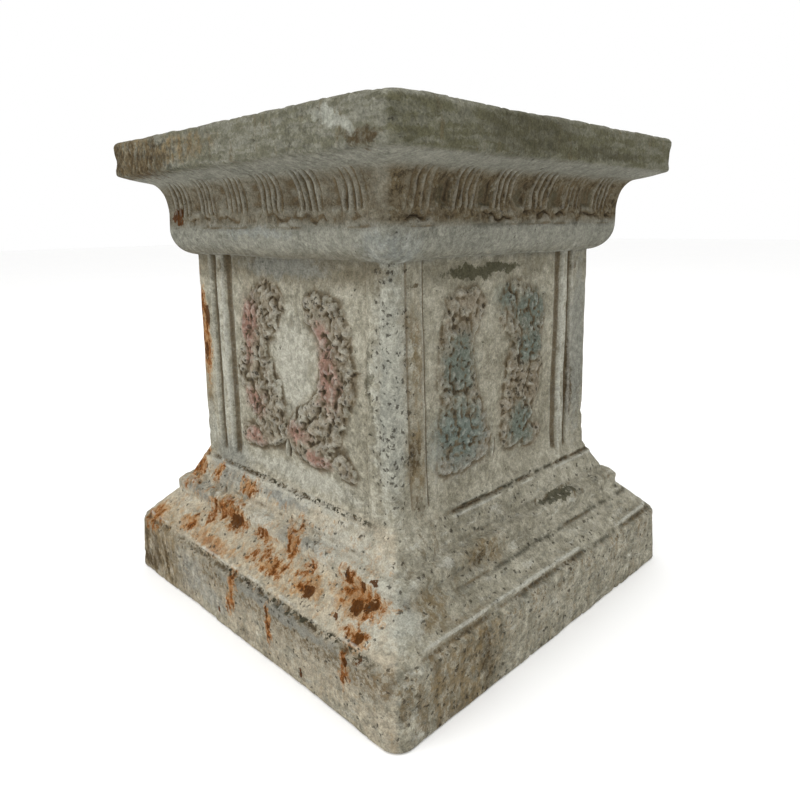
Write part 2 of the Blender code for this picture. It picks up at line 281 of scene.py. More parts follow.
# Stations of each wreath branch, from the tie up to the tip, as (u, height, half width), then the same
# for the loose leaves beside the tie
WREATHS = {
    "front": {
        "branches": (
            ((-6, 188, 9), (-28, 198, 28), (-31, 212, 33), (-38, 225, 30), (-47, 240, 31), (-45, 255, 24),
             (-44, 270, 21), (-40, 285, 23), (-32, 296, 26), (-10, 306, 16)),
            ((12, 188, 11), (40, 194, 25), (58, 205, 27), (68, 220, 24), (74, 236, 24), (77, 252, 23),
             (76, 268, 21), (76, 284, 22), (66, 297, 20), (48, 308, 14)),
            ((-66, 170, 10), (-45, 173, 11), (-22, 177, 10), (-6, 183, 7)),
            ((16, 180, 8), (36, 175, 11), (57, 174, 12)),
            ((82, 176, 8), (94, 168, 9)),
        ),
        "stem": (5, 162, 184),
        "strength": 1.0,
    },
    "right": {
        "branches": (
            ((-30, 186, 12), (-54, 194, 29), (-57, 206, 28), (-62, 220, 25), (-65, 236, 24), (-67, 252, 23),
             (-66, 268, 19), (-62, 283, 21), (-55, 296, 24), (-42, 305, 17)),
            ((6, 186, 12), (22, 196, 23), (25, 208, 26), (27, 222, 30), (31, 238, 27), (35, 254, 26),
             (37, 270, 24), (36, 285, 29), (26, 297, 27), (12, 303, 19)),
            ((-82, 172, 8), (-58, 172, 10), (-32, 177, 10)),
            ((8, 177, 9), (32, 174, 11), (54, 171, 10)),
        ),
        "stem": (-13, 163, 183),
        "strength": 0.68,
    },
}
PLAIN_BRANCH = ((-10, 188, 12), (-34, 196, 25), (-52, 214, 26), (-60, 236, 24), (-60, 258, 22),
                (-54, 279, 21), (-44, 297, 21), (-24, 311, 15))
PLAIN_LEAF = ((-80, 172, 9), (-54, 174, 11), (-24, 178, 9))


def mirrored(branch):
    return tuple((-u, height, half) for u, height, half in branch)


PLAIN_WREATH = {
    "branches": (PLAIN_BRANCH, mirrored(PLAIN_BRANCH), PLAIN_LEAF, mirrored(PLAIN_LEAF)),
    "stem": (0, 164, 184),
    "strength": 0.8,
}
WREATH_RELIEF = 7.0
LEAF_STEP = 8.5
LEAF_LONG = 19.0
LEAF_WIDE = 12.5
ROSETTE_RADIUS = 9.5
ROSETTE_PETALS = 5
CURL_SIZE = 12.0
# How much each layer adds to the height of a wreath
MASS_SHARE = 0.2
LEAF_SHARE = 0.62
CURL_SHARE = 0.22
CRUMB_SHARE = 0.12
PIT_SHARE = 0.3
LOOSE_LEAF_SHARE = 0.5
STEM_SHARE = 0.4
SLOT_SHARE = 0.28
WREATH_SEED = 400
SEED_STEP = 20


def lump(u, z, centre, size, turn):
    """A low dome on an ellipse, with its long axis turned from upright: 0 outside and 1 in the middle."""
    across = (u - centre[0]) * math.cos(turn) - (z - centre[1]) * math.sin(turn)
    along = (u - centre[0]) * math.sin(turn) + (z - centre[1]) * math.cos(turn)
    reach = (across / size[0]) ** 2 + (along / size[1]) ** 2
    return np.sqrt(np.clip(1 - reach, 0, 1)), across / size[0], along / size[1]


def leaf_shape(u, z, centre, size, turn):
    """A leaf with a sunk vein and a dip between it and its rim."""
    body, across, along = lump(u, z, centre, size, turn)
    vein = bell(across, 0.16) * smooth(-along, -0.9, 0.2)
    ribs = 0.5 + 0.5 * np.cos(along * 11.0 + np.abs(across) * 6.0)
    return body * (1 - 0.34 * vein - 0.16 * ribs * (1 - vein))


def rosette(u, z, centre, radius, turn):
    """A small round flower with petals and a hollow eye."""
    du, dz = u - centre[0], z - centre[1]
    angle = np.arctan2(dz, du) + turn
    edge = radius * (0.84 + 0.16 * np.cos(ROSETTE_PETALS * angle))
    reach = np.hypot(du, dz) / edge
    body = np.sqrt(np.clip(1 - reach ** 2, 0, 1))
    clefts = 0.22 * np.exp(-((1 + np.cos(ROSETTE_PETALS * angle)) / 0.35)) * smooth(reach, 0.25, 0.6)
    eye = 0.55 * bell(reach, 0.2)
    return body * (1 - clefts) - eye * (body > 0)


def branch_line(stations, step):
    """Places at an even step along a branch, as rows of (u, height, half width, heading)."""
    stations = np.array(stations, float)
    run = np.hypot(np.diff(stations[:, 0]), np.diff(stations[:, 1]))
    along = np.concatenate(([0.0], np.cumsum(run)))
    places = np.linspace(0, along[-1], int(along[-1] / step) + 2)
    line = [np.interp(places, along, stations[:, column]) for column in range(3)]
    heading = np.arctan2(np.gradient(line[0]), np.gradient(line[1]))
    return np.stack((*line, heading), 1)


def branch_mass(u, z, stations, ragged):
    """The foliage of a branch as one mass with a ragged edge: 0 outside and 1 inside."""
    reach = np.full_like(u, 9.0)
    for centre_u, centre_z, half, _ in branch_line(stations, 4.0):
        reach = np.minimum(reach, np.hypot(u - centre_u, z - centre_z) / half)
    return 1 - smooth(reach + ragged, 0.82, 1.08)


def branch_relief(u, z, stations, rng):
    """Leaves in staggered rows on both sides of a line of rosettes, along one branch."""
    height = np.zeros_like(u)
    for index, (centre_u, centre_z, half, heading) in enumerate(branch_line(stations, LEAF_STEP)):
        lanes = (-1, 0, 1) if half > LEAF_LONG * 0.8 else (-0.5, 0.5)
        for lane in lanes:
            shift = lane * (half - LEAF_LONG * 0.42) + rng.normal(0, 2.2)
            ahead = rng.normal(0, 2.2)
            turn = heading + lane * math.radians(55) + rng.normal(0, 0.4)
            leaf_u = centre_u + shift * math.cos(heading) + ahead * math.sin(heading)
            leaf_z = centre_z - shift * math.sin(heading) + ahead * math.cos(heading)
            if (index + (lane > 0)) % 3 == 1:
                shape = rosette(u, z, (leaf_u, leaf_z), ROSETTE_RADIUS * rng.uniform(0.75, 1.1), turn)
            else:
                size = (LEAF_WIDE / 2 * rng.uniform(0.8, 1.3), LEAF_LONG / 2 * rng.uniform(0.75, 1.2))
                shape = leaf_shape(u, z, (leaf_u, leaf_z), size, turn)
            height = np.maximum(height, shape * rng.uniform(0.6, 1.0))
    return height


def wreath_relief(u, z, points, face, seed):
    """Height of the whole wreath, from 0 to about 1, at every point of a face."""
    plan = WREATHS.get(face, PLAIN_WREATH)
    rng = np.random.default_rng(seed)
    ragged = 0.30 * noise(points, 14.0, seed + 1) + 0.22 * noise(points, 6.0, seed + 2)
    warped_u = u + 2.0 * noise(points, 8.0, seed + 3)
    warped_z = z + 2.0 * noise(points, 8.0, seed + 4)
    mass, leaves = np.zeros_like(u), np.zeros_like(u)
    for stations in plan["branches"]:
        mass = np.maximum(mass, branch_mass(u, z, stations, ragged))
        leaves = np.maximum(leaves, branch_relief(warped_u, warped_z, stations, rng))
    near, next_near = cells(warped_u, warped_z, CURL_SIZE, seed + 5)
    rim = bell(near - 0.34 * CURL_SIZE, 1.6)
    eye = bell(near, 1.8)
    cleft = 1 - smooth(next_near - near, 0.2, 2.4)
    curls = (0.45 * rim - 0.6 * eye - 0.5 * cleft) * smooth(noise(points, 18.0, seed + 7), -0.7, 0.5)
    crumbs = noise(points, 4.0, seed + 6)
    pits = smooth(noise(points, 4.6, seed + 8), 0.2, 0.7)
    layers = MASS_SHARE + LEAF_SHARE * leaves + CURL_SHARE * curls + CRUMB_SHARE * crumbs - PIT_SHARE * pits
    loose = LOOSE_LEAF_SHARE * leaves * (mass > 0.02) * (1 + 0.3 * curls)
    height = np.maximum(mass * layers, loose)
    stem_u, stem_foot, stem_head = plan["stem"]
    middle = (stem_foot + stem_head) / 2
    stem = lump(u, z, (stem_u - 2.4, middle), (2.8, (stem_head - stem_foot) / 2), 0.12)[0]
    slot = lump(u, z, (stem_u + 1.0, middle), (1.9, (stem_head - stem_foot) / 2.2), 0.12)[0]
    # Low ground among the leaves, which the material darkens as dirt and painted shade
    lows = mass * (1 - smooth(height, 0.06, 0.34)) * smooth(noise(points, 9.0, seed + 9), -0.7, 0.4)
    lows *= plan["strength"]
    height = np.maximum(height, STEM_SHARE * stem) - SLOT_SHARE * slot * (height < 0.2)
    return height, mass, np.maximum(lows, slot), plan["strength"]


def frame_relief(u, z, face):
    """Depth of the panel field and of the grooves beside it, in millimetres, as a negative number."""
    frame = FRAMES[face]
    above = smooth(z, SCORE_LEVEL + 2.0, SCORE_LEVEL + PANEL_SWEEP_HEIGHT)
    left, right = frame["field"]
    share = np.clip((u - left) / (right - left), 0, 1)
    depth = frame["depth"][0] + (frame["depth"][1] - frame["depth"][0]) * share
    inside = within(u, left - 1.5, left + 1.5, right - 1.5, right + 1.5)
    relief = -depth * inside * above
    end = smooth(z, SHAFT_FOOT - 2.0, SHAFT_FOOT + 12.0)
    for place, width, cut in frame["grooves"]:
        relief = np.minimum(relief, -cut * dome(u - place, width) * end)
    return relief * (z < OVOLO_FOOT + 1.0)


# Leaf band in the hollow moulding: sets of reeds, a scooped tongue between them and a crumbled row below

BAND_PITCH = 50.0
REED_PITCH = 7.2
REEDS_A_SET = 4
REED_SET_WIDTH = REED_PITCH * REEDS_A_SET
TONGUE_WIDTH = BAND_PITCH - REED_SET_WIDTH
TONGUE_DEPTH = 5.0
CRUMB_SIZE = 8.0
BAND_SHIFTS = {"front": -25.0, "right": 16.0, "back": 0.0, "left": 0.0}
CRACKS = {"front": 0.6, "right": 1.5, "back": 0.5, "left": 0.5}


def band_relief(u, z, face, points):
    wander = 3.0 * noise(points, 36.0, 71) + 1.3 * noise(points, 9.0, 74)
    place = np.mod(u - BAND_SHIFTS[face] + wander + BAND_PITCH / 2, BAND_PITCH) - BAND_PITCH / 2
    on_band = within(z, NECK_FOOT + 11.0, NECK_FOOT + 16.0, HOLLOW_HEAD - 2.0, HOLLOW_HEAD + 1.5)
    worn = np.clip(0.7 + 0.6 * noise(points, 24.0, 72) + 0.4 * noise(points, 6.0, 75), 0.0, 1.2)
    ridges = np.abs(np.sin(math.pi * (place + REED_SET_WIDTH / 2) / REED_PITCH)) ** 0.8
    in_set = 1 - smooth(np.abs(place), REED_SET_WIDTH / 2 - 0.5, REED_SET_WIDTH / 2 + 0.8)
    reeds = (1.5 * ridges - 1.0) * in_set * REED_RELIEF * np.maximum(worn, 0.3)
    across = np.mod(place - REED_SET_WIDTH / 2, BAND_PITCH) / TONGUE_WIDTH
    hollowed = np.clip(across, 0, 1) ** 0.7 * (1 - smooth(across, 0.86, 1.0))
    scoop_end = within(z, NECK_FOOT + 13.0, NECK_FOOT + 20.0, HOLLOW_HEAD - 12.0, HOLLOW_HEAD - 1.0)
    scoop = hollowed * TONGUE_DEPTH * scoop_end * (1 - in_set) * np.clip(worn, 0.4, 1.0)
    end = 1 - smooth(np.abs(u), OVOLO_HALF - 26.0, OVOLO_HALF - 10.0)
    relief = (reeds - scoop) * on_band
    crumb = 0.9 * noise(points, CRUMB_SIZE, 76) + 0.5 * noise(points, CRUMB_SIZE / 2, 79)
    scallop = NECK_FOOT + 8.0 + 3.4 * noise(points * (1, 1, 0), 9.0, 80) + 1.6 * noise(points, 5.0, 82)
    crack = bell(z - scallop, 1.3 + 0.6 * noise(points, 8.0, 83))
    crack = crack * smooth(noise(points, 13.0, 81), -0.5, 0.2) * CRACKS[face]
    on_neck = within(z, NECK_FOOT + 1.0, NECK_FOOT + 3.0, NECK_FOOT + 12.0, NECK_FOOT + 16.0)
    broken = smooth(noise(points, 18.0, 73), -0.6, 0.1)
    ledge = bell(z - NECK_FOOT - 1.0 - 0.8 * noise(points, 30.0, 77), 1.3)
    relief += (1.5 * crumb * broken - 2.8 * crack) * on_neck
    relief -= 1.0 * ledge * smooth(noise(points, 26.0, 78), -0.5, 0.2)
    return relief * end


# Lines round the base and neck: height on the front and on the right, half thickness, depth on each (a
# negative one is a ridge), and how dark each is painted with moss and painted shade
Line = namedtuple("Line", "front right half front_depth right_depth front_dark right_dark")
BASE_LINES = (
    Line(SCORE_LEVEL - 0.6, SCORE_LEVEL - 1.6, 1.6, 2.4, 2.4, 1.0, 0.95),
    Line(SCORE_LEVEL - 4.2, SCORE_LEVEL - 5.2, 1.7, -0.9, -0.8, 0.0, 0.0),
    Line(RAMP_FOOT + 4.2, RAMP_FOOT + 4.2, 1.3, 0.9, 0.6, 0.3, 0.3),
    Line(RAMP_FOOT - 1.0, RAMP_FOOT - 1.0, 1.6, -1.2, -0.8, 0.0, 0.0),
    Line(FILLET_FOOT + 0.4, FILLET_FOOT + 0.4, 2.0, 0.3, 0.6, 0.0, 0.0),
    Line(FILLET_FOOT - 4.6, FILLET_FOOT - 6.0, 1.3, 0.2, 1.3, 0.1, 0.75),
    Line(SLOPE_FOOT + 7.4, SLOPE_FOOT + 8.6, 1.4, -1.2, -1.9, 0.0, 0.0),
    Line(SLOPE_FOOT + 3.4, SLOPE_FOOT + 4.8, 1.8, 2.2, 1.9, 1.0, 0.75),
    Line(NECK_FOOT + 1.0, NECK_FOOT + 1.0, 1.8, 0.0, 0.0, 0.35, 0.5),
)

# Small leaning dents along the rounded top of the fillet
DENT_SIZE = 5.0
DENT_LEAN = 0.8
DENT_DEPTH = 1.5


def line_relief(z, points):
    relief = np.zeros_like(z)
    x, y = points[..., 0], points[..., 1]
    on_right = smooth(x - np.abs(y), -20.0, 20.0)
    from_near = 2 * np.maximum(np.abs(x), np.abs(y)) - (x - y)
    fade = smooth(from_near, 10.0, 50.0)
    dots = smooth(noise(points, 7.0, 63) + 0.4 * noise(points, 24.0, 61), -0.35, 0.5)
    strokes = smooth(noise(points, 30.0, 64) + 0.4 * noise(points, 9.0, 65), -0.5, 0.3)
    wander = 0.9 * noise(points, 60.0, 62)
    for line in BASE_LINES:
        level = line.front + (line.right - line.front) * on_right
        depth = line.front_depth * dots * (1 - on_right) + line.right_depth * strokes * on_right
        relief -= depth * fade * bell(z + wander - level, line.half)
    along = np.where(on_right > 0.5, y - DENT_LEAN * z, x + DENT_LEAN * z)
    dents = noise(np.stack((along, z / 3, np.zeros_like(z)), -1), DENT_SIZE, 66)
    zone = within(z, FILLET_FOOT + 8.0, FILLET_FOOT + 13.0, RAMP_FOOT + 2.0, RAMP_FOOT + 9.0)
    seen = smooth(noise(points, 30.0, 67), -0.3, 0.3) * fade
    return relief - DENT_DEPTH * smooth(dents, 0.1, 0.6) * zone * seen


# Building the surface

def base_surface():
    """Positions of the grid, and for each point its place on its face; rows go up, columns go round."""
    half, height, radius = (np.repeat(row[:, None], COLUMNS_A_SIDE, 1) for row in profile_rows())
    share = np.linspace(-1, 1, COLUMNS_A_SIDE, endpoint=False)
    u = share * (half - (1 - math.sqrt(0.5)) * radius)
    past = np.clip(np.abs(u) - (half - radius), 0, None)
    out = half - radius + np.sqrt(np.clip(radius ** 2 - past ** 2, 0, None))
    sides = []
    for turn in FACE_TURNS:
        cos, sin = math.cos(math.radians(turn)), math.sin(math.radians(turn))
        sides.append(np.stack((u * cos + out * sin, u * sin - out * cos, height), -1))
    face = np.repeat(np.arange(len(FACE_TURNS)), COLUMNS_A_SIDE)
    return np.concatenate(sides, 1), np.tile(u, (1, len(FACE_TURNS))), face


def grid_normals(points):
    around = np.roll(points, -1, 1) - np.roll(points, 1, 1)
    up = np.gradient(points, axis=0)
    normal = np.cross(around, up)
    return normal / np.maximum(np.linalg.norm(normal, axis=-1, keepdims=True), 1e-9)


def blurred(grid, reach):
    """The grid averaged over a square of cells; columns wrap round."""
    steps = range(-reach, reach + 1)
    rows = np.arange(grid.shape[0])
    total = np.mean([grid[np.clip(rows + step, 0, rows[-1])] for step in steps], axis=0)
    return np.mean([np.roll(total, step, 1) for step in steps], axis=0)


def relief_grid(points, u, face):
    """Relief over the whole grid in millimetres, how much of it is wreath, and where dirt and painted shade
    lie in that.
    """
    z = points[..., 2]
    relief = line_relief(z, points)
    wreath, lows = np.zeros_like(z), np.zeros_like(z)
    for index, name in enumerate(FACE_NAMES):
        columns = face == index
        side_u, side_z, side_points = u[:, columns], z[:, columns], points[:, columns]
        on_shaft = (side_z > SCORE_LEVEL - 1) & (side_z < OVOLO_FOOT + 1)
        relief[:, columns] += frame_relief(side_u, side_z, name) * on_shaft
        seed = WREATH_SEED + SEED_STEP * index
        shape, mass, low, strength = wreath_relief(side_u, side_z, side_points, name, seed)
        relief[:, columns] += shape * on_shaft * WREATH_RELIEF * strength
        wreath[:, columns] = mass * on_shaft
        lows[:, columns] = low * on_shaft
        on_head = (side_z > NECK_FOOT - 3) & (side_z < HOLLOW_HEAD + 1.5)
        relief[:, columns] += band_relief(side_u, side_z, name, side_points) * on_head
    return relief, wreath, lows


CHIP_DEPTH = 3.2
NICK_DEPTH = 1.8
CORNER_REACH = 16.0
EDGE_REACH = 5.0


def wear(points):
    """Uneven casting and worn edges, in millimetres along the normal."""
    z = points[..., 2]
    under = z < GROUND_LEVEL
    uneven = 0.9 * noise(points, 70.0, 11) + 0.5 * noise(points, 26.0, 12) + 0.34 * noise(points, 10.0, 13)
    on_edge_faces = (z > SLAB_FOOT - 3.0) | (z < SLOPE_FOOT)
    uneven -= 0.9 * smooth(noise(points, 5.5, 14), 0.3, 0.8) * on_edge_faces
    x, y = np.abs(points[..., 0]), np.abs(points[..., 1])
    corner = bell(np.abs(x - y), CORNER_REACH)
    chips = np.clip(layered(points, 24.0, 21) - 0.35, 0, 1) * CHIP_DEPTH * corner
    slab_edge = bell(z - TOP, EDGE_REACH) + 0.8 * bell(z - SLAB_FOOT, 4.0)
    slab_edge *= np.maximum(x, y) > SLAB_HALF - 9.0
    base_edge = bell(z - SLOPE_FOOT, EDGE_REACH) + bell(z - RAMP_FOOT + 4.0, EDGE_REACH)
    nicks = np.clip(layered(points, 12.0, 31) - 0.4, 0, 1) * NICK_DEPTH * (0.7 * slab_edge + base_edge)
    return (uneven - chips - nicks) * ~under


SLAB_TILT = 1.5
SHAFT_LEAN = 1.1


def settle(points):
    """The slight tilt of the head and lean of the shaft of the real casting."""
    moved = points.copy()
    toward = (points[..., 0] + points[..., 1]) / (2 * SLAB_HALF)
    head = smooth(points[..., 2], HOLLOW_FOOT, SLAB_FOOT)
    moved[..., 2] -= SLAB_TILT * toward * head
    lean = within(points[..., 2], RAMP_FOOT, SHAFT_FOOT + 40.0, OVOLO_FOOT, SLAB_FOOT)
    moved[..., 0] -= SHAFT_LEAN * lean
    moved[..., 1] -= SHAFT_LEAN * lean
    return moved


def mesh_of_grid(points, attributes):
    """A closed mesh of a grid of rows whose first and last close on a middle point."""
    rows, columns = points.shape[:2]
    vertices = np.concatenate((points.reshape(-1, 3), [[0, 0, 0.0], [0, 0, points[-1, :, 2].mean()]])) * MM
    index = np.arange(rows * columns).reshape(rows, columns)
    after = np.roll(index, -1, 1)
    quads = np.stack((index[:-1], after[:-1], after[1:], index[1:]), -1).reshape(-1, 4)
    under = np.stack((after[0], index[0], np.full(columns, rows * columns)), -1)
    above = np.stack((index[-1], after[-1], np.full(columns, rows * columns + 1)), -1)
    corners = np.concatenate((quads.ravel(), under.ravel(), above.ravel()))
    sizes = np.concatenate((np.full(len(quads), 4), np.full(len(under) + len(above), 3)))
    mesh = bpy.data.meshes.new("pedestal_casting")
    mesh.vertices.add(len(vertices))
    mesh.vertices.foreach_set("co", vertices.astype(np.float32).ravel())
    mesh.loops.add(len(corners))
    mesh.loops.foreach_set("vertex_index", corners.astype(np.int32))
    mesh.polygons.add(len(sizes))
    starts = np.concatenate(([0], np.cumsum(sizes)[:-1]))
    mesh.polygons.foreach_set("loop_start", starts.astype(np.int32))
    mesh.update(calc_edges=True)
    mesh.validate()
    for name, values in attributes.items():
        layer = mesh.attributes.new(name, "FLOAT", "POINT")
        layer.data.foreach_set("value", np.concatenate((values.ravel(), [0.0, 0.0])).astype(np.float32))
    return mesh


def add_object(name, data):
    thing = bpy.data.objects.new(name, data)
    bpy.context.scene.collection.objects.link(thing)
    return thing


def casting():
    points, u, face = base_surface()
    relief, wreath, lows = relief_grid(points, u, face)
    worn = wear(points)
    normal = grid_normals(points)
    # How sunk each point is, which the material darkens as dirt and painted shade
    sunk = (blurred(relief, CREVICE_REACH) - relief) / CREVICE_DEPTH
    crevice = np.clip(sunk + LOWS_SHARE * lows, -1, 1)
    moved = points + normal * (relief + worn)[..., None]
    moved[..., 2] = np.where(points[..., 2] < GROUND_LEVEL, 0.0, np.maximum(moved[..., 2], 0.0))
    mesh = mesh_of_grid(settle(moved), {"crevice": crevice, "wreath": wreath})
    piece = add_object("pedestal_casting", mesh)
    triangles = sum(len(polygon.vertices) - 2 for polygon in mesh.polygons)
    if triangles > TRIANGLE_LIMIT:
        thin = piece.modifiers.new("thin", "DECIMATE")
        thin.ratio = TRIANGLE_LIMIT / triangles
        thin.use_collapse_triangulate = True
        graph = bpy.context.evaluated_depsgraph_get()
        thinned = bpy.data.meshes.new_from_object(
            piece.evaluated_get(graph), preserve_all_data_layers=True, depsgraph=graph)
        piece.modifiers.clear()
        piece.data = thinned
        bpy.data.meshes.remove(mesh)
    piece.data.polygons.foreach_set("use_smooth", np.ones(len(piece.data.polygons), bool))
    return piece


# Material

def srgb(red, green, blue):
    """A colour given as in a picture, from 0 to 255, as linear values."""
    linear = []
    for value in (red, green, blue):
        value /= 255
        linear.append(value / 12.92 if value <= 0.04045 else ((value + 0.055) / 1.055) ** 2.4)
    return (*linear, 1.0)


CONCRETE_LIGHT = srgb(165, 161, 145)
CONCRETE_MID = srgb(143, 139, 122)
CONCRETE_DARK = srgb(112, 107, 90)
LIME = srgb(182, 182, 172)
COOL_GREY = srgb(120, 121, 112)
OLIVE = srgb(84, 82, 62)
BROWN = srgb(92, 79, 55)
CREAM = srgb(181, 170, 149)
YELLOW_BROWN = srgb(128, 107, 74)
WREATH_TONE = srgb(121, 109, 91)
# Dirt and crust colours, which also paint shade into crevices, under the plinth ledge and into the hollow on
# the right face
DIRT_AND_SHADE = srgb(94, 82, 62)
CRUST_AND_SHADE = srgb(46, 39, 28)
PORE = srgb(58, 52, 42)
# Dark moss in the base lines, together with painted shade in their creases
BLACK_MOSS_AND_SHADE = srgb(52, 50, 38)
RUST_HALO = srgb(160, 124, 82)
WASH_CORE = srgb(132, 84, 42)
RUST = srgb(122, 70, 22)
RUST_DARK = srgb(76, 42, 6)

# Stains by kind and face, as (u, height, half width, half height) in millimetres, and the lean if any in
# degrees
STAINS = {
    "tan": {"front": (
        (40, 80, 120, 22), (-70, 84, 80, 24), (-150, 70, 50, 50), (-134, 240, 14, 110),
    )},
    "grey": {"front": (
        (8, 124, 46, 9), (42, 103, 30, 9), (-120, 102, 60, 8), (64, 105, 44, 6), (5, 337, 90, 12),
        (-94, 134, 46, 40), (60, 57, 130, 8),
    ), "right": (
        (124, 250, 22, 130),
    )},
    "blue": {"front": (
        (-92, 34, 52, 28), (-50, 22, 40, 14), (0, 366, 70, 6), (-20, 124, 60, 7), (150, 352, 34, 26),
    ), "right": (
        (-66, 190, 60, 40), (-150, 350, 36, 24),
    )},
    "ochre": {"front": (
        (-168, 32, 96, 74), (-150, 436, 90, 30), (-60, 436, 80, 14), (-134, 190, 10, 50),
    ), "right": (
        (-120, 270, 20, 66), (-118, 190, 18, 64), (-130, 34, 62, 60), (-66, 98, 40, 16), (-150, 84, 26, 22),
    )},
    "umber": {"front": (
        (-164, 38, 12, 44, -8), (-140, 34, 6, 34, -8), (-184, 40, 7, 34, -8), (-180, 14, 30, 16),
        (-122, 428, 66, 20), (-176, 432, 20, 30), (-148, 444, 12, 12), (-106, 444, 16, 9), (172, 424, 26, 8),
    ), "right": (
        (-118, 192, 7, 22), (-116, 327, 11, 3), (109, 215, 9, 62), (106, 330, 10, 5), (-115, 150, 6, 16),
        (-166, 92, 9, 8), (-76, 96, 12, 12), (-106, 34, 9, 40),
    )},
    "moss": {"front": (
        (134, 240, 8, 60), (117, 256, 4, 42), (146, 190, 5, 22),
    ), "right": (
        (-50, 436, 80, 22), (60, 426, 90, 6), (-105, 392, 10, 12), (-58, 392, 12, 12), (-12, 392, 12, 12),
        (38, 392, 12, 12), (93, 392, 12, 12),
    )},
    "lime": {"front": (
        (138, 250, 22, 140), (186, 100, 26, 44), (-134, 170, 12, 40), (146, 437, 28, 6, 20),
    ), "right": (
        (-143, 250, 15, 140), (-186, 112, 36, 70),
    )},
    "pale": {"front": (
        (14, 252, 40, 66), (-8, 104, 26, 8), (20, 150, 130, 14), (100, 112, 60, 20), (0, 131, 150, 6),
        (-96, 240, 8, 120),
    ), "right": (
        (92, 250, 6, 140),
    )},
    "pink": {"front": (
        (-52, 288, 26, 40), (-54, 270, 12, 46), (-46, 207, 26, 20), (68, 250, 24, 46), (58, 284, 18, 22),
        (22, 192, 30, 14), (-50, 173, 26, 13), (50, 172, 26, 12),
    )},
    "teal": {"right": (
        (40, 294, 44, 30), (40, 260, 34, 26), (26, 186, 30, 34), (-62, 256, 34, 44), (-66, 200, 54, 44),
        (0, 310, 24, 20),
    )},
    "spot": {"front": (
        (-48, 93, 14, 9), (-40, 96, 8, 5), (88, 78, 9, 6), (141, 83, 9, 7), (153, 87, 10, 5, -20),
        (119, 99, 5, 7), (139, 97, 4, 8), (150, 103, 6, 3), (127, 74, 4, 3), (159, 71, 6, 5),
        (154, 54, 4, 6), (168, 62, 4, 4), (50, 50, 3, 10), (95, 12, 3, 7), (-34, 16, 3, 6),
        (-135, 383, 20, 8, -20), (-132, 377, 12, 6), (-128, 284, 6, 16), (-135, 246, 5, 14),
    )},
    "smudge": {"right": (
        (-48, 332, 52, 8), (-8, 334, 42, 6.5), (62, 108, 42, 4),
    )},
    "wash": {"front": (
        (-137, 270, 13, 68, -3), (-62, 97, 50, 16), (30, 80, 32, 7), (42, 102, 15, 24, -12),
        (82, 80, 26, 13), (138, 88, 44, 24), (158, 70, 16, 9), (-112, 76, 26, 9), (-62, 72, 60, 10),
        (-8, 44, 9, 30, 14), (51, 40, 5, 28, 4), (-110, 122, 12, 12), (-54, 121, 24, 12),
        (-148, 122, 18, 30), (-172, 72, 30, 16), (4, 93, 24, 7),
    )},
}

# Where rust gathers: the same kind of list, which the rust pattern follows
RUST_PLACES = {"front": (
    (-66, 98, 42, 17), (-44, 93, 24, 13), (-84, 90, 20, 14), (24, 80, 34, 9), (42, 104, 15, 30, -12),
    (4, 93, 30, 8), (-110, 120, 11, 18), (-62, 122, 12, 14, 20), (-44, 120, 12, 16, 20),
    (-110, 76, 14, 8, 20), (28, 80, 44, 11), (-10, 40, 9, 44, 12), (51, 36, 6, 34, 4), (74, 84, 18, 14, -20),
    (120, 98, 20, 12), (144, 88, 34, 18), (156, 71, 18, 10), (152, 48, 9, 24), (-136, 268, 13, 70, -4),
    (-148, 118, 18, 34), (-172, 66, 26, 20),
)}

# Colour of each kind of stain, the two values between which its edge rises, how strongly it covers, and how
# much of it is left between its streaks
StainKind = namedtuple("StainKind", "colour edge strength left")
STAIN_KINDS = {
    "tan": StainKind(srgb(164, 143, 110), (0.02, 0.8), 0.5, 0.4),
    "grey": StainKind(srgb(118, 120, 114), (0.05, 0.6), 0.62, 1.0),
    "blue": StainKind(srgb(132, 138, 136), (0.05, 0.6), 0.42, 0.5),
    "ochre": StainKind(srgb(108, 93, 66), (0.04, 0.6), 0.85, 0.15),
    "umber": StainKind(srgb(68, 55, 34), (0.15, 0.55), 0.9, 0.35),
    "moss": StainKind(srgb(66, 63, 47), (0.12, 0.5), 0.72, 0.5),
    "lime": StainKind(srgb(168, 170, 160), (0.05, 0.6), 0.5, 1.0),
    "pale": StainKind(srgb(176, 175, 163), (0.05, 0.6), 0.5, 1.0),
    "pink": StainKind(srgb(146, 96, 86), (0.05, 0.75), 0.52, 1.0),
    "teal": StainKind(srgb(84, 100, 93), (0.05, 0.7), 0.68, 1.0),
    "spot": StainKind(srgb(74, 41, 6), (0.25, 0.4), 0.94, 1.0),
    "smudge": StainKind(srgb(60, 58, 40), (0.18, 0.42), 0.85, 1.0),
    "wash": StainKind(srgb(156, 122, 82), (0.1, 0.9), 0.62, 1.0),
}
WREATH_PAINT = ("pink", "teal")
APART = ("spot", "wash")
STAIN_BREAKUP = 1.3
STAIN_DEPTH = 30.0


def face_point(face, u, height):
    """The point of the row frame, in metres, for a place on a face."""
    turn = math.radians(FACE_TURNS[FACE_NAMES.index(face)])
    out = outer_half(height)
    x = u * math.cos(turn) + out * math.sin(turn)
    y = u * math.sin(turn) - out * math.cos(turn)
    return Vector((x, y, height)) * MM


